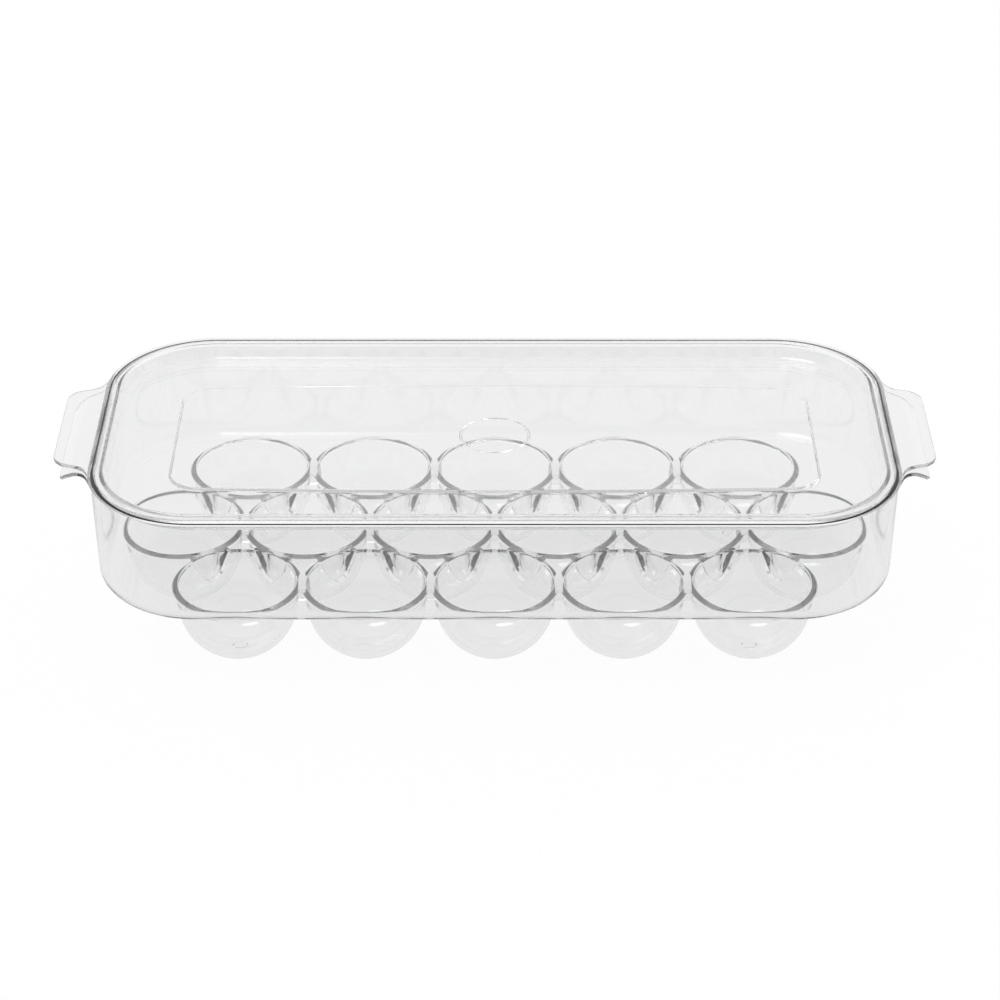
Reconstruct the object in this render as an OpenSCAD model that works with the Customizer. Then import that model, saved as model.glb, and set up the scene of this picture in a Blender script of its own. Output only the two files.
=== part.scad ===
// Egg keeper: a clear tray with rows of egg cups, and a lid that lifts straight off it.
// Millimetres. +Z is up, X runs along the length, and the origin is on the surface
// that the keeper stands on, under the middle of the tray.

/* [Egg cups] */
// Cups in the middle row, and the outer rows have one less
middle_row_cups = 6; // [3:1:8]
// Gap between neighbouring cups in one row, just under the deck
cup_gap = 1; // [0.6:0.1:8]
// Gap between each cup and its nearest cups in the next row, just under the deck
row_gap = 0.2; // [0.2:0.1:8]
// Outer radius of the round bottom of a cup
bowl_r = 22.9; // [21:0.1:23]
// Wall of a cup
cup_t = 1.8; // [1.2:0.1:2.4]
// Depth of a cup from the top of the deck to the outside of its bottom
cup_depth = 31.6; // [28:0.2:40]
// How far a cup's side leans outwards, in degrees
cup_taper = 7.7; // [4:0.1:8]
// Rounding where the deck turns down into a cup
mouth_round = 0.6; // [0.3:0.1:1.6]
// Diameter of the round feet under the four corner cups
foot_d = 5.6; // [4:0.2:9]
// How far the feet stand below the cups
foot_h = 0.4; // [0.2:0.1:1]

/* [Tray] */
// Thickness of the deck that holds the cups
deck_t = 2.2; // [1.6:0.1:3]
// Web of deck between the outer cups and the curve up into the wall
cup_margin = 0.4; // [0.3:0.1:6]
// Thickness of the tray's wall
wall_t = 2; // [1.4:0.1:3]
// Height of the wall above the deck
wall_h = 42.2; // [30:0.2:60]
// Lean of the wall, in degrees
wall_draft = 1.6; // [0.5:0.1:4]
// Outer rounding along the wall's bottom edge
bottom_round = 6; // [4:0.2:7]
// Plan radius of the tray's corners, outside, at the foot of the wall
corner_r = 39.3; // [30:0.1:44]

/* [Lid] */
// Thickness of the lid
lid_t = 2.2; // [1.6:0.1:3]
// How deep the lid's panel sits below the top of its rim
lid_recess = 5.8; // [4:0.2:10]
// Width of the flat top of the lid's rim
rim_w = 4.1; // [2.5:0.1:5]
// Rounding of the rim's outer edge
rim_round = 1.9; // [1:0.1:1.9]
// How far the rim stands out past the top of the tray's wall
rim_overhang = 1; // [0.4:0.1:3]
// Lean of the step between the rim and the panel, in degrees
step_lean = 20; // [6:1:25]
// Rounding between the step and the panel
step_round = 2; // [1:0.2:3]
// Width of the panel left bare round the raised middle
plateau_inset = 22; // [12:1:30]
// Height of the raised middle of the panel
plateau_h = 0.9; // [0.5:0.1:1.5]
// Width of the slope round the raised middle
plateau_slope = 1.3; // [0.6:0.1:3]
// Plan radius of the raised middle's corners
plateau_r = 12; // [6:1:18]
// How far the long sides of the raised middle bow outwards
plateau_bow = 2; // [0:0.2:4]
// Diameter of the round dimple in the middle of the lid
dimple_d = 27.6; // [16:0.2:40]
// Depth of that dimple
dimple_depth = 0.5; // [0.2:0.1:0.5]

/* [Grips] */
// How far the lid's grips reach past its rim
grip_reach = 14; // [10:0.5:22]
// Half the width of a grip at its tip, with sharp corners
grip_half_w = 27.3; // [18:0.1:29]
// Slope of a grip's sides, as widening for each millimetre inwards
grip_flare = 0.3; // [0.2:0.05:0.8]
// Rounding of a grip's tip corners, and of the bends where its sides turn into the rim
grip_corner_r = 8; // [4:0.5:9]
// How far from the rim those bends lie
grip_neck = 2; // [1:0.5:3]
// Slope of a grip's sides from there to the rim, as widening for each millimetre inwards
grip_root_flare = 2.4; // [1.6:0.1:2.8]
// Thickness of the grips
grip_t = 1.6; // [1.2:0.1:2.2]
// How far the top of a lid grip lies below the top of the rim
lid_grip_drop = 1.1; // [0.8:0.1:1.4]
// How far the tray's grips fall short of the lid's
tray_grip_short = 1.8; // [0:0.2:5]
// Outer radius of the bend in a tray grip
tray_grip_bend_r = 12; // [8:0.5:13]
// How far a tray grip bends down, in degrees
tray_grip_bend = 57; // [30:1:65]
// Room between the lid's grips and the tray's grips at their roots
grip_gap = 1.5; // [0.4:0.1:2]

/* [Hidden] */
$fn = 96;
arc_steps = 8;
bowl_steps = 20;
grip_root_l = 7;
eps = 0.01;

// Counts and node names
outer_row_cups = middle_row_cups - 1;
cup_count = middle_row_cups + 2 * outer_row_cups;
function two_digits(n) = str(n < 10 ? "0" : "", n);
function cup_name(i) = str("egg_cup_", two_digits(i + 1));

// A length rounded to a hundredth of a millimetre, so that pieces that meet do so exactly
function hundredths(v) = round(v * 100) / 100;

// Heights
cup_bottom_z = foot_h;
deck_top = cup_bottom_z + cup_depth;
deck_bottom = deck_top - deck_t;
wall_top = deck_top + wall_h;
rim_top = wall_top + lid_t;
panel_top = rim_top - lid_recess;
panel_bottom = panel_top - lid_t;
bowl_z = cup_bottom_z + bowl_r;

// A cup's side is a cone that meets the round bottom smoothly
function cup_outer_r(z) = (bowl_r + (z - bowl_z) * sin(cup_taper)) / cos(cup_taper);
function cup_inner_r(z) = cup_outer_r(z) - cup_t / cos(cup_taper);
mouth_r = hundredths(cup_inner_r(deck_bottom));

// Centre of the rounding where the deck turns down into a cup
mouth_arc_z = deck_top - mouth_round;
mouth_arc_r = cup_inner_r(mouth_arc_z + mouth_round * sin(cup_taper)) + mouth_round * cos(cup_taper);

// Distances between cup centres, along a row and from row to row
cup_pitch = hundredths(2 * cup_outer_r(deck_bottom) + cup_gap);
row_step = 2 * cup_outer_r(deck_bottom) + row_gap;
row_pitch = hundredths(sqrt(row_step * row_step - cup_pitch * cup_pitch / 4));

// Where each cup stands: front row, middle row, back row, each from left to right
function row_xs(n) = [for (i = [0 : n - 1]) (i - (n - 1) / 2) * cup_pitch];
cup_places = concat(
    [for (x = row_xs(outer_row_cups)) [x, -row_pitch]],
    [for (x = row_xs(middle_row_cups)) [x, 0]],
    [for (x = row_xs(outer_row_cups)) [x, row_pitch]]
);
corner_cups = [
    0,
    outer_row_cups - 1,
    cup_count - outer_row_cups,
    cup_count - 1
];

// Plan sizes. Every outline of the tray and the lid is the same core rectangle
// grown by a radius, so the pieces stay parallel all the way round.
deck_r = corner_r - bottom_round;
deck_half_x = (middle_row_cups - 1) / 2 * cup_pitch + mouth_r + cup_margin;
deck_half_y = row_pitch + mouth_r + cup_margin;
core_x = deck_half_x - deck_r;
core_y = deck_half_y - deck_r;
wall_lean = tan(wall_draft);
wall_foot_z = deck_bottom + bottom_round;
function wall_outer_at(z) = corner_r + (z - wall_foot_z) * wall_lean;
rim_outer_r = hundredths(wall_outer_at(wall_top) + rim_overhang);
rim_inner_r = rim_outer_r - rim_round - rim_w;
step_run = tan(step_lean);
panel_r = rim_inner_r - lid_recess * step_run;
panel_flat_r = hundredths(panel_r - step_round * tan((90 - step_lean) / 2));

// Points along an arc, from one angle to another
function arc(cx, cz, r, from, to, steps = arc_steps) =
    [for (i = [0 : steps]) let (a = from + (to - from) * i / steps)
        [cx + r * cos(a), cz + r * sin(a)]];

// Points that round off the corner b between a and c with radius r
function unit(v) = v / norm(v);
function rounded_corner(a, b, c, r, steps = arc_steps) =
    let (
        u = unit(a - b),
        v = unit(c - b),
        half = acos(u * v) / 2,
        reach = r / tan(half),
        start = b + u * reach,
        end = b + v * reach,
        centre = b + unit(u + v) * r / sin(half),
        a0 = atan2(start[1] - centre[1], start[0] - centre[0]),
        turn = atan2(end[1] - centre[1], end[0] - centre[0]) - a0,
        sweep = turn > 180 ? turn - 360 : turn < -180 ? turn + 360 : turn
    )
    r == 0 ? [b] : arc(centre[0], centre[1], r, a0, a0 + sweep, steps);

// An outline of straight sides from [x, y, radius] corners
function rounded_outline(corners) =
    let (n = len(corners))
    [for (i = [0 : n - 1])
        let (a = corners[(i + n - 1) % n], b = corners[i], c = corners[(i + 1) % n])
        each rounded_corner([a[0], a[1]], [b[0], b[1]], [c[0], c[1]], b[2])];

// Sweeps a section, drawn as radius and height, round the core rectangle
module swept_ring() {
    for (sx = [0, 1], sy = [0, 1])
        mirror([sx, 0, 0]) mirror([0, sy, 0]) translate([core_x, core_y, 0])
            rotate_extrude(angle = 90) children();
    for (side = [0, 1]) {
        mirror([0, side, 0]) translate([-core_x, core_y, 0])
            rotate([90, 0, 90]) linear_extrude(height = 2 * core_x) children();
        mirror([side, 0, 0]) translate([core_x, core_y, 0])
            rotate([90, 0, 0]) linear_extrude(height = 2 * core_y) children();
    }
}

// The core rectangle grown by r, between two heights
module grown_core(r, z0, z1) {
    translate([0, 0, z0]) linear_extrude(height = z1 - z0) {
        square([2 * (core_x + r), 2 * core_y], center = true);
        square([2 * core_x, 2 * (core_y + r)], center = true);
        for (sx = [-1, 1], sy = [-1, 1])
            translate([sx * core_x, sy * core_y]) circle(r);
    }
}

// The hole that a cup makes in the deck, with its rounded mouth
module cup_mouth() {
    below = deck_bottom - deck_t / 2;
    above = deck_top + wall_h / 2;
    rotate_extrude()
        polygon(concat(
            [[0, below], [cup_inner_r(below), below]],
            arc(mouth_arc_r, mouth_arc_z, mouth_round, 180 - cup_taper, 90),
            [[mouth_arc_r, above], [0, above]]
        ));
}

module all_cup_mouths() {
    for (place = cup_places) translate([place[0], place[1], 0]) cup_mouth();
}

// The section of the wall: rounded foot, leaning sides, softened top edge
module wall_section() {
    inner_round = bottom_round - wall_t;
    edge = wall_t / 5;
    top_outer = wall_outer_at(wall_top);
    below_outer = wall_outer_at(wall_top - edge);
    polygon(concat(
        arc(deck_r, wall_foot_z, bottom_round, -90, 0),
        [[below_outer, wall_top - edge], [top_outer - edge, wall_top]],
        [[top_outer - wall_t + edge, wall_top], [below_outer - wall_t, wall_top - edge]],
        arc(deck_r, deck_top + inner_round, inner_round, 0, -90)
    ));
}

module tray_wall() {
    color([0.93, 0.94, 0.95, 0.45]) difference() {
        swept_ring() wall_section();
        all_cup_mouths();
    }
}

module tray_deck() {
    color([0.90, 0.91, 0.92, 0.45]) difference() {
        grown_core(deck_r, deck_bottom, deck_top);
        all_cup_mouths();
    }
}

// One cup: a cone that runs into a round bottom, open at the top, turned from its section
module egg_cup(has_foot) {
    inner_bowl_r = bowl_r - cup_t;
    foot_r = foot_d / 2;
    foot_angle = -acos(foot_r / bowl_r);
    foot = [[0, 0], [foot_r, 0]];
    start = has_foot ? foot_angle : -90;
    color([0.87, 0.88, 0.89, 0.45]) rotate_extrude()
        polygon(concat(
            has_foot ? foot : [],
            arc(0, bowl_z, bowl_r, start, -cup_taper, bowl_steps),
            [[cup_outer_r(deck_bottom), deck_bottom], [cup_inner_r(deck_bottom), deck_bottom]],
            arc(0, bowl_z, inner_bowl_r, -cup_taper, -90, bowl_steps)
        ));
}

module cup_node(i) {
    has_foot = len(search(i, corner_cups)) > 0;
    translate([cup_places[i][0], cup_places[i][1], 0]) egg_cup(has_foot);
}

// Outline of a grip on the right, seen from above, ending at x = tip
function grip_outline(tip) =
    let (
        neck = core_x + rim_outer_r + grip_neck,
        neck_half_w = grip_half_w + (tip - neck) * grip_flare,
        inside = neck - grip_root_l,
        inside_half_w = neck_half_w + grip_root_l * grip_root_flare
    )
    rounded_outline([
        [inside, -inside_half_w, 0],
        [neck, -neck_half_w, grip_corner_r],
        [tip, -grip_half_w, grip_corner_r],
        [tip, grip_half_w, grip_corner_r],
        [neck, neck_half_w, grip_corner_r],
        [inside, inside_half_w, 0]
    ]);

// Everything inside the tray wall's outer face, leaning as the wall does
module inside_wall() {
    swept_ring()
        polygon([
            [0, wall_foot_z],
            [wall_outer_at(wall_foot_z), wall_foot_z],
            [wall_outer_at(wall_top), wall_top],
            [0, wall_top]
        ]);
    grown_core(eps, wall_foot_z, wall_top);
}

// The tray's grip: it leaves the wall level, then bends down
module tray_grip() {
    tip = core_x + rim_outer_r + grip_reach - tray_grip_short;
    top = rim_top - lid_grip_drop - grip_t - grip_gap;
    bend_x = tip - tray_grip_bend_r * sin(tray_grip_bend);
    bend_z = top - tray_grip_bend_r;
    outer = arc(bend_x, bend_z, tray_grip_bend_r, 90, 90 - tray_grip_bend);
    inner = arc(bend_x, bend_z, tray_grip_bend_r - grip_t, 90 - tray_grip_bend, 90);
    depth = 2 * (grip_half_w + grip_reach);
    color([0.91, 0.92, 0.93, 0.45]) difference() {
        intersection() {
            translate([0, depth / 2, 0]) rotate([90, 0, 0]) linear_extrude(height = depth)
                polygon(concat(
                    [[core_x, top]],
                    outer,
                    inner,
                    [[core_x, top - grip_t]]
                ));
            translate([0, 0, deck_top]) linear_extrude(height = wall_h)
                polygon(grip_outline(tip));
        }
        inside_wall();
    }
}

module tray_grip_right() { tray_grip(); }
module tray_grip_left() { mirror([1, 0, 0]) tray_grip(); }

// The lid's section below its rim: the step down and the curve into the panel
module step_section() {
    curve_z = panel_top + step_round;
    outer_round = step_round + lid_t;
    lean_end = -step_lean;
    run_top = (rim_top - wall_top) * step_run;
    thick = lid_t / cos(step_lean);
    polygon(concat(
        arc(panel_flat_r, curve_z, outer_round, -90, lean_end),
        [[rim_inner_r - run_top + thick, wall_top]],
        [[rim_inner_r - run_top, wall_top]],
        arc(panel_flat_r, curve_z, step_round, lean_end, -90)
    ));
}

module lid_panel() {
    color([0.94, 0.95, 0.96, 0.45]) union() {
        grown_core(panel_flat_r, panel_bottom, panel_top);
        swept_ring() step_section();
    }
}

// Section of the rim, from radius x0 at height z0: flat top and rounded outer edge
module rim_section(x0, z0, x1) {
    polygon(concat(
        [[x0, z0], [rim_outer_r, z0]],
        arc(rim_outer_r - rim_round, rim_top - rim_round, rim_round, 0, 90),
        [[x1, rim_top]]
    ));
}

module lid_rim() {
    run_top = (rim_top - wall_top) * step_run;
    color([0.92, 0.93, 0.94, 0.45]) swept_ring()
        rim_section(rim_inner_r - run_top, wall_top, rim_inner_r);
}

// Outline of the raised middle, whose long sides bow outwards
plateau_x = core_x + panel_r - plateau_inset;
plateau_y = core_y + panel_r - plateau_inset;
function plateau_outline() =
    let (
        half_y = plateau_y,
        r = plateau_r,
        run = plateau_x - r,
        side_y = half_y - plateau_bow,
        n = 2 * arc_steps,
        left = arc(-run, side_y - r, r, 180, 90),
        right = arc(run, side_y - r, r, 90, 0),
        bow = [for (i = [1 - n : n - 1])
            [run * i / n, side_y + plateau_bow * (1 - pow(i / n, 2))]],
        back = concat(left, bow, right)
    )
    concat(back, [for (i = [len(back) - 1 : -1 : 0]) [back[i][0], -back[i][1]]]);

// The raised middle, with sloping sides and a dimple in the centre
module lid_plateau() {
    shrink = [1 - plateau_slope / plateau_x, 1 - plateau_slope / plateau_y];
    color([0.95, 0.96, 0.97, 0.45]) difference() {
        translate([0, 0, panel_top]) linear_extrude(height = plateau_h, scale = shrink, slices = 1)
            polygon(plateau_outline());
        translate([0, 0, panel_top + plateau_h - dimple_depth])
            cylinder(h = plateau_h, d = dimple_d);
    }
}

// The lid's grip: a level plate that starts at the rim's outer edge
module lid_grip() {
    tip = core_x + rim_outer_r + grip_reach;
    top = rim_top - lid_grip_drop;
    color([0.93, 0.94, 0.95, 0.45]) difference() {
        translate([0, 0, top - grip_t]) linear_extrude(height = grip_t)
            polygon(grip_outline(tip));
        swept_ring() rim_section(0, top - 2 * grip_t, 0);
        grown_core(eps, top - 2 * grip_t, rim_top);
    }
}

module lid_grip_right() { lid_grip(); }
module lid_grip_left() { mirror([1, 0, 0]) lid_grip(); }

tray_wall();
tray_deck();
tray_grip_left();
tray_grip_right();
for (i = [0 : cup_count - 1])
    cup_node(i);
lid_panel();
lid_plateau();
lid_rim();
lid_grip_left();
lid_grip_right();
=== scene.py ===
"""Clear plastic egg keeper: one moulding for the tray and one for the lid, on a white floor."""

from math import asin, atan, cos, degrees, hypot, pi, radians, sin, sqrt, tan

import bmesh
import bpy
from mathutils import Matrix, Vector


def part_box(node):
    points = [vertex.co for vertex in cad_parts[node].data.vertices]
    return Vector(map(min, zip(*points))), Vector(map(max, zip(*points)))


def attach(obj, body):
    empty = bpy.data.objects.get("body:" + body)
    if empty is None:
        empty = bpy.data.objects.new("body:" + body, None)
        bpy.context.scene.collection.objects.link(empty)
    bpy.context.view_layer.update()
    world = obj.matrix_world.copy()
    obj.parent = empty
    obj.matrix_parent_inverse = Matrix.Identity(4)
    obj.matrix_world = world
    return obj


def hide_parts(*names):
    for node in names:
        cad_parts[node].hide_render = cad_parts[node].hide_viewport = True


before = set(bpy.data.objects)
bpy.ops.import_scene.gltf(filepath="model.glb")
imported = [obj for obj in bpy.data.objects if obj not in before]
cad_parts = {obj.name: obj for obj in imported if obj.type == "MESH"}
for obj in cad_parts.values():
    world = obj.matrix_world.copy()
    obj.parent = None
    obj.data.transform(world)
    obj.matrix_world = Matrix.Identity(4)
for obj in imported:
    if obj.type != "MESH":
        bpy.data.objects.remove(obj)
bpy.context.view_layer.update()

MM = 0.001

# Sizes in millimetres, as on the frame's solids
CUP_NAMES = sorted(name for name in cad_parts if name.startswith("egg_cup_"))
bowl_r = 22.9
cup_t = 1.8
cup_taper = radians(7.7)
mouth_round = 0.6
cup_root_round = 0.6
cup_flare_h = 5.0
cup_flare_r = 12.0
cup_mouth_clear = 6.0
web_gap = 3.0
foot_r = 2.8
foot_h = 0.4
foot_edge = 0.2
foot_edge_h = 0.15
foot_root = 0.3
wall_t = 2.0
wall_lean = tan(radians(1.6))
wall_edge_round = 0.7
bottom_round = 6.0
corner_r = 39.3
lid_t = 2.2
lid_recess = 5.8
rim_w = 4.1
rim_round = 1.9
rim_inner_round = 0.5
step_lean = radians(20)
step_round = 2.0
plateau_inset = 22.0
plateau_slope = 0.6
plateau_corner_r = 12.0
plateau_bow = 2.0
plateau_edge_round = 0.15
plateau_edge_h = 0.1
dimple_r = 13.8
dimple_depth = 0.5
dimple_groove = 1.2
dimple_floor_drop = 0.2
under_recess = 0.5
under_inset = 0.4
grip_reach = 14.0
grip_half_w = 27.3
grip_flare = atan(0.3)
grip_root_flare = atan(2.4)
grip_neck = 2.0
grip_corner_r = 8.0
grip_t = 1.6
grip_edge_round = 0.7
lid_grip_drop = 1.1
tray_grip_short = 1.8
tray_grip_bend_r = 12.0
tray_grip_bend = radians(57)
grip_gap = 1.5

# How far a shape runs into what it joins, or past what it cuts
lid_grip_overlap = 0.6
tray_grip_overlap = 4.0
web_overlap = 0.4
buried = 1.0
cut_past = 3.0

# Cups whose centres are closer than this touch each other
neighbour_reach = 2.4 * bowl_r

# Heights and half sizes read from the frame
rest_z = 0.0
deck_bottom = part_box("tray_deck")[0].z / MM
deck_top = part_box("tray_deck")[1].z / MM
wall_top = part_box("tray_wall")[1].z / MM
rim_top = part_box("lid_rim")[1].z / MM
plateau_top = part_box("lid_plateau")[1].z / MM
rim_outer_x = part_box("lid_rim")[1].x / MM
rim_outer_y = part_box("lid_rim")[1].y / MM
wall_outer_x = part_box("tray_wall")[1].x / MM

# Every outline is one core rectangle grown by a radius
panel_top = rim_top - lid_recess
panel_bottom = panel_top - lid_t
wall_foot_z = deck_bottom + bottom_round
deck_r = corner_r - bottom_round
top_outer_r = corner_r + (wall_top - wall_foot_z) * wall_lean
core_x = wall_outer_x - top_outer_r
rim_outer_r = rim_outer_x - core_x
core_y = rim_outer_y - rim_outer_r
rim_inner_r = rim_outer_r - rim_round - rim_w
panel_r = rim_inner_r - lid_recess * tan(step_lean)
bowl_z = foot_h + bowl_r

# Steps round a corner and round a cup, and the least radius of a turned ring
CORNER_STEPS = 28
CUP_STEPS = 112
CENTRE_GAP = 0.2

# The photo's view, in metres and degrees
CAMERA_LENS = 108.97
CAMERA_PLACE = (0.0020, -1.0123, 0.6506)
CAMERA_HEIGHT = 31

# How bright the room is towards its front and its back, with one soft lamp above
ROOM_FRONT = 0.5
ROOM_BACK = 1.0
ROOM_FROM = -0.75
ROOM_TO = 0.1
LAMP_DIRECTION = (-0.3, -0.3, 0.905)
LAMP_EDGE = 0.95
LAMP_FULL = 0.975
LAMP_LEVEL = 3.5

# How bright the floor glows through the plastic, along its depth in metres: painted shade in front
# of the keeper and a painted shadow under it
FLOOR_FRONT_PAINTED_SHADE = 0.4
FLOOR_UNDER_PAINTED_SHADOW = 0.87
FLOOR_BACK = 0.98
FLOOR_FRONT_FROM = -0.2
FLOOR_FRONT_TO = -0.05
FLOOR_BACK_FROM = 0.08
FLOOR_BACK_TO = 0.5
FLOOR_SHARE = 0.97
FLOOR_HALF = 3.0
FLOOR_DROP = 0.0002

# The plastic's tint, and how fast it dims light on its way inside, per metre
PLASTIC_TINT = (0.996, 0.997, 0.998)
HAZE_TINT = 0.996
# The tray's plastic dims light faster than the lid's: real absorption plus painted shade, for the
# shadowed floor round and under the cups
TRAY_ABSORPTION_AND_PAINTED_SHADE = 12.0
LID_ABSORPTION = 3.0
PLASTIC_BOUNCES = 300


def cup_outer_r(z):
    return (bowl_r + (z - bowl_z) * sin(cup_taper)) / cos(cup_taper)


def cup_inner_r(z):
    return cup_outer_r(z) - cup_t / cos(cup_taper)


def arc(cx, cz, r, start, end, steps):
    """Points on an arc, with angles in degrees."""
    angles = [radians(start + (end - start) * i / steps) for i in range(steps + 1)]
    return [(cx + r * cos(a), cz + r * sin(a)) for a in angles]


# Mesh building


def mesh_object(name, rings, loop=False):
    """A closed skin over rings of equal length: capped at both ends, or closed on itself."""
    mesh = bpy.data.meshes.new(name)
    n = len(rings[0])
    points = [tuple(v * MM for v in p) for ring in rings for p in ring]
    faces = []
    last = len(rings) if loop else len(rings) - 1
    for i in range(last):
        a, b = i * n, (i + 1) % len(rings) * n
        for j in range(n):
            k = (j + 1) % n
            faces.append((a + j, a + k, b + k, b + j))
    if not loop:
        faces.append(tuple(range(n))[::-1])
        faces.append(tuple(range((len(rings) - 1) * n, len(rings) * n)))
    mesh.from_pydata(points, [], faces)
    bm = bmesh.new()
    bm.from_mesh(mesh)
    bmesh.ops.recalc_face_normals(bm, faces=bm.faces)
    bm.to_mesh(mesh)
    bm.free()
    return bpy.data.objects.new(name, mesh)


def swept(name, profile):
    """A solid whose side follows the profile, radius and height, round the core rectangle."""
    stations = []
    for quarter, (sx, sy) in enumerate([(1, 1), (-1, 1), (-1, -1), (1, -1)]):
        for i in range(CORNER_STEPS + 1):
            a = (quarter + i / CORNER_STEPS) * pi / 2
            stations.append((sx * core_x, sy * core_y, cos(a), sin(a)))
    rings = [[(cx + r * dx, cy + r * dy, z) for cx, cy, dx, dy in stations] for r, z in profile]
    return mesh_object(name, rings)


def turned(name, profile, x, y, steps=CUP_STEPS):
    """A solid of revolution about a vertical axis through x, y."""
    turns = [(cos(2 * pi * i / steps), sin(2 * pi * i / steps)) for i in range(steps)]
    rings = [[(x + r * c, y + r * s, z) for c, s in turns] for r, z in profile]
    return mesh_object(name, rings)


def joined(name, parts):
    """One object of several solids that don't touch each other."""
    bm = bmesh.new()
    for part in parts:
        bm.from_mesh(part.data)
        bpy.data.objects.remove(part)
    mesh = bpy.data.meshes.new(name)
    bm.to_mesh(mesh)
    bm.free()
    return bpy.data.objects.new(name, mesh)


def applied(obj):
    """Turns what obj's modifiers show into its own mesh."""
    depsgraph = bpy.context.evaluated_depsgraph_get()
    result = bpy.data.meshes.new_from_object(obj.evaluated_get(depsgraph))
    obj.modifiers.clear()
    obj.data = result
    return obj


def combined(base, tool, operation):
    """Applies one boolean operation to base's mesh and throws the tool away."""
    collection = bpy.context.scene.collection
    for obj in (base, tool):
        if obj.name not in collection.objects:
            collection.objects.link(obj)
    modifier = base.modifiers.new("combine", "BOOLEAN")
    modifier.operation = operation
    modifier.solver = "MANIFOLD"
    modifier.object = tool
    applied(base)
    bpy.data.objects.remove(tool)
    return base


def smoothed(obj, angle=28):
    """Smooth shading that keeps flat faces flat, with the turn taken by the narrow roundings."""
    for polygon in obj.data.polygons:
        polygon.use_smooth = True
    obj.data.set_sharp_from_angle(angle=radians(angle))
    weights = obj.modifiers.new("weights", "WEIGHTED_NORMAL")
    weights.keep_sharp = True
    weights.weight = 100
    return applied(obj)


def finished(obj, material, body):
    """Gives a piece its material and the body it moves with."""
    obj.data.materials.clear()
    obj.data.materials.append(material)
    for polygon in obj.data.polygons:
        polygon.material_index = 0
    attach(obj, body)


# Egg cups


def cup_places():
    boxes = [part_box(name) for name in CUP_NAMES]
    return [((lo.x + hi.x) / 2 / MM, (lo.y + hi.y) / 2 / MM, lo.z / MM) for lo, hi in boxes]


def cups_apart(places):
    """Sorts the cups into groups in which none touches another."""
    groups = []
    for place in places:
        x, y = place[:2]
        for group in groups:
            if all(hypot(x - u, y - v) > neighbour_reach for u, v, low in group):
                group.append(place)
                break
        else:
            groups.append([place])
    return groups


def cup_skin(x, y, low):
    """The outside of a cup, up to inside the deck, with its round foot if it stands lowest."""
    bowl = arc(0, bowl_z, bowl_r, -90, -degrees(cup_taper), 40)
    flare_z = deck_bottom - cup_root_round - cup_flare_h
    lean = degrees(asin(cup_flare_h / cup_flare_r))
    flare = arc(cup_outer_r(flare_z) + cup_flare_r, flare_z, cup_flare_r, 180, 180 - lean, 6)
    root_r = flare[-1][0] + cup_root_round
    flare += arc(root_r, deck_bottom - cup_root_round, cup_root_round, 180 - lean, 95, 6)
    profile = []
    if low < foot_h / 2:
        bowl = [p for p in bowl if p[0] > foot_r + foot_root]
        profile = [(foot_r - foot_edge, rest_z), (foot_r, rest_z + foot_edge_h)]
    else:
        bowl = [p for p in bowl if p[0] > CENTRE_GAP]
    profile += bowl + flare + [(flare[-1][0], deck_bottom + buried)]
    return turned("cup_skin", profile, x, y)


def cup_hollow(x, y):
    """The inside of a cup, from its bottom to its rounded mouth and on up above the deck."""
    bowl = arc(0, bowl_z, bowl_r - cup_t, -90, -degrees(cup_taper), 40)
    bowl = [p for p in bowl if p[0] > CENTRE_GAP]
    mouth_r = cup_inner_r(deck_top - mouth_round)
    mouth = arc(mouth_r + mouth_round, deck_top - mouth_round, mouth_round, 180, 90, 12)
    return turned("cup_hollow", bowl + mouth + [(mouth[-1][0], deck_top + cup_mouth_clear)], x, y)


def cup_web(a, b):
    """Fills the gap between two neighbouring cups wherever it is narrower than web_gap."""
    run_x, run_y = b[0] - a[0], b[1] - a[1]
    apart = hypot(run_x, run_y)
    ux, uy = run_x / apart, run_y / apart
    mid_x, mid_y = (a[0] + b[0]) / 2, (a[1] + b[1]) / 2
    widening = 2 * tan(cup_taper)
    depth = (web_gap - apart + 2 * cup_outer_r(deck_bottom)) / widening
    half_w = sqrt(cup_outer_r(deck_bottom) * widening * depth)
    edge = [(half_w * t / 12, deck_bottom - depth * (1 - (t / 12) ** 2)) for t in range(-12, 13)]
    outline = [(-half_w, deck_bottom + buried)] + edge + [(half_w, deck_bottom + buried)]
    reach = web_gap / 2 + web_overlap
    rings = [[(mid_x + ux * s - uy * w, mid_y + uy * s + ux * w, z) for w, z in outline]
             for s in (-reach, reach)]
    return mesh_object("cup_web", rings)


def cup_webs(places):
    """The webs between all neighbouring cups, in a row and from row to row."""
    webs = []
    for i, a in enumerate(places):
        for b in places[i + 1:]:
            if hypot(a[0] - b[0], a[1] - b[1]) < neighbour_reach:
                webs.append(cup_web(a, b))
    return joined("cup_webs", webs)


# Grips


def grip_half_width(x, tip):
    """Half the width of a grip at x: tip corner, straight side, hollow bend, steep root."""
    r = grip_corner_r
    if x > tip - r + r * sin(grip_flare):
        corner_y = grip_half_w - r * tan((pi / 2 - grip_flare) / 2)
        return corner_y + sqrt(max(r ** 2 - (x - tip + r) ** 2, 0))
    neck = core_x + rim_outer_r + grip_neck
    neck_w = grip_half_w + (tip - neck) * tan(grip_flare)
    reach = r * tan((grip_root_flare - grip_flare) / 2)
    bend_start = neck + reach * cos(grip_flare)
    if x > bend_start:
        return grip_half_w + (tip - x) * tan(grip_flare)
    if x < neck - reach * cos(grip_root_flare):
        return neck_w + (neck - x) * tan(grip_root_flare)
    hollow_x = bend_start + r * sin(grip_flare)
    hollow_y = neck_w - reach * sin(grip_flare) + r * cos(grip_flare)
    return hollow_y - sqrt(r ** 2 - (x - hollow_x) ** 2)


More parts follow.
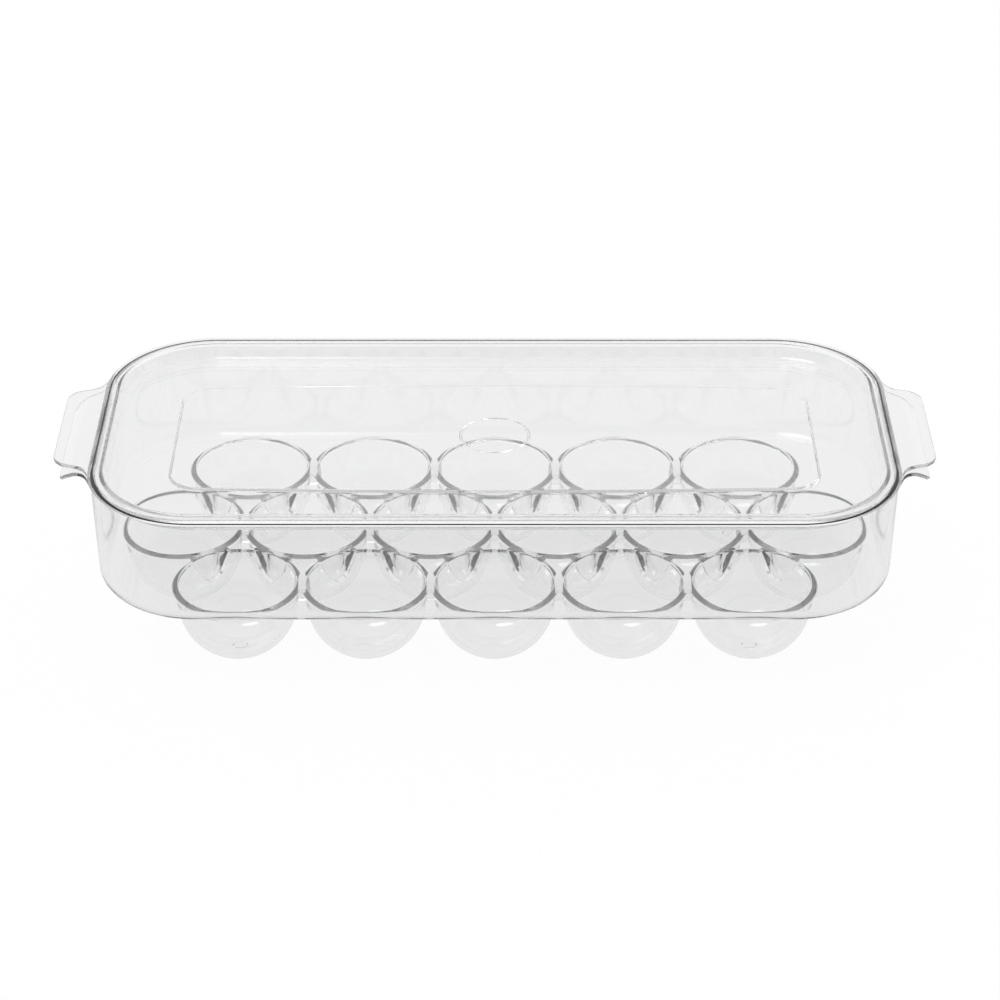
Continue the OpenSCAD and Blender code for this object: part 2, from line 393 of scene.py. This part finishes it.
def grip_solid(name, path, tip, side):
    """A plate along a path of (x, z, tilt), with round edges, as wide as its outline."""
    rings = []
    for x, z, tilt, thin in path:
        half_t = max(grip_t / 2 * thin, 0.02)
        half_w = grip_half_width(x, tip) - grip_edge_round * (1 - thin)
        edge = min(grip_edge_round, half_t)
        ring = []
        for sx, sz, start in [(1, 1, 0), (-1, 1, 90), (-1, -1, 180), (1, -1, 270)]:
            for w, h in arc(sx * (half_w - edge), sz * (half_t - edge), edge, start, start + 90, 6):
                ring.append((side * (x + h * sin(tilt)), w, z + h * cos(tilt)))
        rings.append(ring)
    return mesh_object(name, rings)


def eased_tip(points):
    """Thins the last stretch of a path, so that the plate's end is round."""
    path = []
    tip_x, tip_z = points[-1][0], points[-1][1]
    for x, z, tilt in points:
        left = hypot(tip_x - x, tip_z - z)
        past = max(1 - left / grip_edge_round, 0)
        path.append((x, z, tilt, sqrt(max(1 - past * past, 0))))
    return path


def grip_stations(start, tip):
    """Places along a grip, closer together where its corners are round."""
    round_start = tip - grip_corner_r
    steps = 24
    straight = [start + (round_start - start) * i / steps for i in range(steps)]
    return straight + [tip - grip_corner_r * (1 - sin(radians(a))) for a in range(0, 91, 5)]


def lid_grip_path(tip):
    """The lid's grip is level."""
    z = rim_top - lid_grip_drop - grip_t / 2
    start = core_x + rim_outer_r - lid_grip_overlap
    return eased_tip([(x, z, 0) for x in grip_stations(start, tip)])


def tray_grip_path(tip):
    """The tray's grip leaves the wall level, then bends down."""
    top = rim_top - lid_grip_drop - grip_t - grip_gap
    r = tray_grip_bend_r - grip_t / 2
    middle_tip = tip - grip_t / 2 * sin(tray_grip_bend)
    bend_x = middle_tip - r * sin(tray_grip_bend)
    start = core_x + top_outer_r - tray_grip_overlap
    points = []
    for x in grip_stations(start, middle_tip):
        tilt = asin(max(x - bend_x, 0) / r)
        points.append((x, top - tray_grip_bend_r + r * cos(tilt), tilt))
    return eased_tip(points)


# The two mouldings


def make_tray():
    outer = arc(deck_r, wall_foot_z, bottom_round, -90, 0, 14)
    edge = wall_edge_round
    outer += arc(top_outer_r - edge, wall_top - edge, edge, 0, 90, 6)
    tray = swept("clear_tray", outer)
    places = cup_places()
    for group in cups_apart(places):
        combined(tray, joined("cup_skins", [cup_skin(*place) for place in group]), "UNION")
    combined(tray, cup_webs(places), "UNION")
    tip = core_x + rim_outer_r + grip_reach - tray_grip_short
    path = tray_grip_path(tip)
    grips = [grip_solid("tray_grip", path, tip, side) for side in (-1, 1)]
    combined(tray, joined("tray_grips", grips), "UNION")
    fillet = bottom_round - wall_t
    inner = arc(deck_r, deck_top + fillet, fillet, -90, 0, 12)
    rim = top_outer_r - wall_t + edge
    inner += arc(rim, wall_top - edge, edge, 180, 90, 6)
    inner += [(rim, wall_top + cut_past)]
    combined(tray, swept("cavity", inner), "DIFFERENCE")
    hollows = [cup_hollow(x, y) for x, y, low in places]
    combined(tray, joined("cup_hollows", hollows), "DIFFERENCE")
    return smoothed(tray)


def plateau_outline(inset):
    """The raised middle's outline, whose long sides bow outwards."""
    half_x = core_x + panel_r - plateau_inset
    half_y = core_y + panel_r - plateau_inset
    r = plateau_corner_r - inset
    run = half_x - plateau_corner_r
    side_y = half_y - plateau_bow - plateau_corner_r
    bow = [(run * i / 16, side_y + r + plateau_bow * (1 - (i / 16) ** 2)) for i in range(-15, 16)]
    back = arc(-run, side_y, r, 180, 90, 14) + bow + arc(run, side_y, r, 90, 0, 14)
    return back + [(x, -y) for x, y in reversed(back)]


def plateau_solid():
    h = plateau_top - panel_top
    soft = plateau_edge_round
    levels = [(-2 * soft, -2 * soft), (-soft, 0), (0, plateau_edge_h)]
    levels += [(plateau_slope - soft, h - plateau_edge_h), (plateau_slope, h)]
    rings = [[(x, y, panel_top + z) for x, y in plateau_outline(inset)] for inset, z in levels]
    return mesh_object("plateau", rings)


def plateau_hollow():
    """The shallow recess under the raised middle."""
    levels = [(under_inset, -buried), (under_inset, 0), (under_inset + under_recess, under_recess)]
    rings = [[(x, y, panel_bottom + z) for x, y in plateau_outline(inset)] for inset, z in levels]
    return mesh_object("plateau_hollow", rings)


def dimple_hollow():
    """The round dimple, with a groove round its edge."""
    floor_z = plateau_top - dimple_floor_drop
    groove_z = plateau_top - dimple_depth
    third = dimple_groove / 3
    profile = [(CENTRE_GAP, floor_z), (dimple_r - 3 * third, floor_z)]
    profile += [(dimple_r - 2 * third, groove_z), (dimple_r - third, groove_z)]
    profile += [(dimple_r, plateau_top), (dimple_r, plateau_top + buried)]
    return turned("dimple", profile, 0, 0)


def make_lid():
    half_turn = (pi / 2 - step_lean) / 2
    curve_r = panel_r - step_round * tan(half_turn)
    curve_z = panel_top + step_round
    lean_end = -degrees(step_lean)
    outer_round = step_round + lid_t
    thick = lid_t / cos(step_lean)
    run_top = (rim_top - wall_top) * tan(step_lean)
    outer = arc(curve_r, curve_z, outer_round, -90, lean_end, 10)
    outer += [(rim_inner_r - run_top + thick, wall_top), (rim_outer_r - 0.2, wall_top)]
    outer += [(rim_outer_r, wall_top + 0.2)]
    outer += arc(rim_outer_r - rim_round, rim_top - rim_round, rim_round, 0, 90, 10)
    lid = swept("clear_lid", outer)
    pan = arc(curve_r, curve_z, step_round, -90, lean_end, 10)
    soft = rim_inner_round
    pan += arc(rim_inner_r + soft, rim_top - soft, soft, 160, 90, 5)
    pan += [(rim_inner_r + soft, rim_top + cut_past)]
    combined(lid, swept("pan", pan), "DIFFERENCE")
    combined(lid, plateau_solid(), "UNION")
    combined(lid, plateau_hollow(), "DIFFERENCE")
    combined(lid, dimple_hollow(), "DIFFERENCE")
    tip = core_x + rim_outer_r + grip_reach
    path = lid_grip_path(tip)
    grips = [grip_solid("lid_grip", path, tip, side) for side in (-1, 1)]
    combined(lid, joined("lid_grips", grips), "UNION")
    return smoothed(lid)


# Materials


def clear_plastic(name, absorption):
    """Polished clear plastic with faint flow waves and faint haze in its finish."""
    material = bpy.data.materials.new(name)
    material.use_nodes = True
    nodes = material.node_tree.nodes
    links = material.node_tree.links
    shader = nodes["Principled BSDF"]
    shader.inputs["IOR"].default_value = 1.55
    shader.inputs["Transmission Weight"].default_value = 1.0
    place = nodes.new("ShaderNodeTexCoord")
    haze = nodes.new("ShaderNodeTexNoise")
    haze.inputs["Scale"].default_value = 60
    haze.inputs["Detail"].default_value = 3
    links.new(place.outputs["Object"], haze.inputs["Vector"])
    rough = nodes.new("ShaderNodeMapRange")
    rough.inputs["To Min"].default_value = 0.0
    rough.inputs["To Max"].default_value = 0.05
    links.new(haze.outputs["Fac"], rough.inputs["Value"])
    links.new(rough.outputs["Result"], shader.inputs["Roughness"])
    colour = nodes.new("ShaderNodeMix")
    colour.data_type = "RGBA"
    colour.inputs["A"].default_value = (*[v * HAZE_TINT for v in PLASTIC_TINT], 1)
    colour.inputs["B"].default_value = (*PLASTIC_TINT, 1)
    links.new(haze.outputs["Fac"], colour.inputs["Factor"])
    links.new(colour.outputs["Result"], shader.inputs["Base Color"])
    waves = nodes.new("ShaderNodeTexNoise")
    waves.inputs["Scale"].default_value = 35
    waves.inputs["Detail"].default_value = 1
    links.new(place.outputs["Object"], waves.inputs["Vector"])
    bump = nodes.new("ShaderNodeBump")
    bump.inputs["Strength"].default_value = 0.15
    bump.inputs["Distance"].default_value = 0.0002
    links.new(waves.outputs["Fac"], bump.inputs["Height"])
    links.new(bump.outputs["Normal"], shader.inputs["Normal"])
    # Light that runs far inside the plastic comes out greyer
    body = nodes.new("ShaderNodeVolumeAbsorption")
    body.inputs["Color"].default_value = (0, 0, 0, 1)
    body.inputs["Density"].default_value = absorption
    links.new(body.outputs["Volume"], nodes["Material Output"].inputs["Volume"])
    return material


def mapped(nodes, links, source, low, high, at_low, at_high):
    """A smooth step of a value, from at_low to at_high."""
    step = nodes.new("ShaderNodeMapRange")
    step.interpolation_type = "SMOOTHSTEP"
    step.inputs["From Min"].default_value = low
    step.inputs["From Max"].default_value = high
    step.inputs["To Min"].default_value = at_low
    step.inputs["To Max"].default_value = at_high
    links.new(source, step.inputs["Value"])
    return step.outputs["Result"]


def math_node(nodes, links, operation, first, second):
    """One operation on two values, each of them a number or another node's output."""
    node = nodes.new("ShaderNodeMath")
    node.operation = operation
    for socket, value in zip(node.inputs, (first, second)):
        if isinstance(value, float):
            socket.default_value = value
        else:
            links.new(value, socket)
    return node.outputs[0]


def floor_material():
    """White floor: seen directly it is plain white, and it still takes the object's shadow."""
    material = bpy.data.materials.new("white_floor")
    material.use_nodes = True
    nodes = material.node_tree.nodes
    links = material.node_tree.links
    nodes.clear()
    output = nodes.new("ShaderNodeOutputMaterial")
    diffuse = nodes.new("ShaderNodeBsdfDiffuse")
    diffuse.inputs["Color"].default_value = (0.92, 0.92, 0.92, 1)
    path = nodes.new("ShaderNodeLightPath")
    # Through the plastic the floor glows a little dimmer, as painted shade, most of all in front of
    # the keeper, with a painted shadow of the keeper under it
    place = nodes.new("ShaderNodeNewGeometry")
    split = nodes.new("ShaderNodeSeparateXYZ")
    links.new(place.outputs["Position"], split.inputs[0])
    depth = split.outputs["Y"]
    front = mapped(nodes, links, depth, FLOOR_FRONT_FROM, FLOOR_FRONT_TO, FLOOR_FRONT_PAINTED_SHADE, FLOOR_UNDER_PAINTED_SHADOW)
    back = mapped(nodes, links, depth, FLOOR_BACK_FROM, FLOOR_BACK_TO, 0.0, FLOOR_BACK - FLOOR_UNDER_PAINTED_SHADOW)
    painted_floor_shade = math_node(nodes, links, "ADD", front, back)
    # Seen directly the floor glows plain white; in reflections and through the plastic it glows at
    # the painted shade and shadow level
    level = math_node(nodes, links, "MAXIMUM", path.outputs["Is Camera Ray"], painted_floor_shade)
    glow = nodes.new("ShaderNodeEmission")
    glow.inputs["Color"].default_value = (1, 1, 1, 1)
    links.new(level, glow.inputs["Strength"])
    sharp = math_node(nodes, links, "MAXIMUM", path.outputs["Is Glossy Ray"],
                      path.outputs["Is Transmission Ray"])
    seen = math_node(nodes, links, "MAXIMUM", path.outputs["Is Camera Ray"], sharp)
    share = math_node(nodes, links, "MULTIPLY", seen, FLOOR_SHARE)
    mix = nodes.new("ShaderNodeMixShader")
    links.new(share, mix.inputs[0])
    links.new(diffuse.outputs[0], mix.inputs[1])
    links.new(glow.outputs[0], mix.inputs[2])
    links.new(mix.outputs[0], output.inputs["Surface"])
    return material


# Stage


def make_floor():
    mesh = bpy.data.meshes.new("floor")
    s = FLOOR_HALF
    mesh.from_pydata([(-s, -s, 0), (s, -s, 0), (s, s, 0), (-s, s, 0)], [], [(0, 1, 2, 3)])
    floor = bpy.data.objects.new("floor", mesh)
    floor.location.z = -FLOOR_DROP
    mesh.materials.append(floor_material())
    bpy.context.scene.collection.objects.link(floor)


def make_camera():
    camera = bpy.data.cameras.new("camera")
    camera.lens = CAMERA_LENS
    camera.sensor_width = 36
    obj = bpy.data.objects.new("camera", camera)
    obj.location = CAMERA_PLACE
    obj.rotation_euler = (radians(90 - CAMERA_HEIGHT), 0, 0)
    bpy.context.scene.collection.objects.link(obj)
    bpy.context.scene.camera = obj


def make_world():
    """A pale studio that is bright behind and beside the keeper and greyer in front of it."""
    world = bpy.data.worlds.new("studio")
    world.use_nodes = True
    nodes = world.node_tree.nodes
    links = world.node_tree.links
    place = nodes.new("ShaderNodeTexCoord")
    split = nodes.new("ShaderNodeSeparateXYZ")
    links.new(place.outputs["Generated"], split.inputs[0])
    room = mapped(nodes, links, split.outputs["Y"], ROOM_FROM, ROOM_TO, ROOM_FRONT, ROOM_BACK)
    toward = nodes.new("ShaderNodeVectorMath")
    toward.operation = "DOT_PRODUCT"
    toward.inputs[1].default_value = LAMP_DIRECTION
    links.new(place.outputs["Generated"], toward.inputs[0])
    lamp = mapped(nodes, links, toward.outputs["Value"], LAMP_EDGE, LAMP_FULL, 0.0, LAMP_LEVEL)
    room = math_node(nodes, links, "ADD", room, lamp)
    path = nodes.new("ShaderNodeLightPath")
    level = math_node(nodes, links, "MAXIMUM", path.outputs["Is Camera Ray"], room)
    links.new(level, nodes["Background"].inputs["Strength"])
    nodes["Background"].inputs["Color"].default_value = (1, 1, 1, 1)
    bpy.context.scene.world = world


tray = make_tray()
# The tray's darker plastic is partly painted shade
finished(tray, clear_plastic("tray_plastic", TRAY_ABSORPTION_AND_PAINTED_SHADE), "tray")
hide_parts(*[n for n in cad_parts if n.startswith(("tray_", "egg_cup_"))])

lid = make_lid()
finished(lid, clear_plastic("lid_plastic", LID_ABSORPTION), "lid")
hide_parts(*[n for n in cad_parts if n.startswith("lid_")])

make_floor()
make_camera()
make_world()

scene = bpy.context.scene
scene.view_settings.view_transform = "Standard"
scene.cycles.max_bounces = PLASTIC_BOUNCES
scene.cycles.transmission_bounces = PLASTIC_BOUNCES
scene.cycles.glossy_bounces = PLASTIC_BOUNCES
scene.cycles.diffuse_bounces = 4
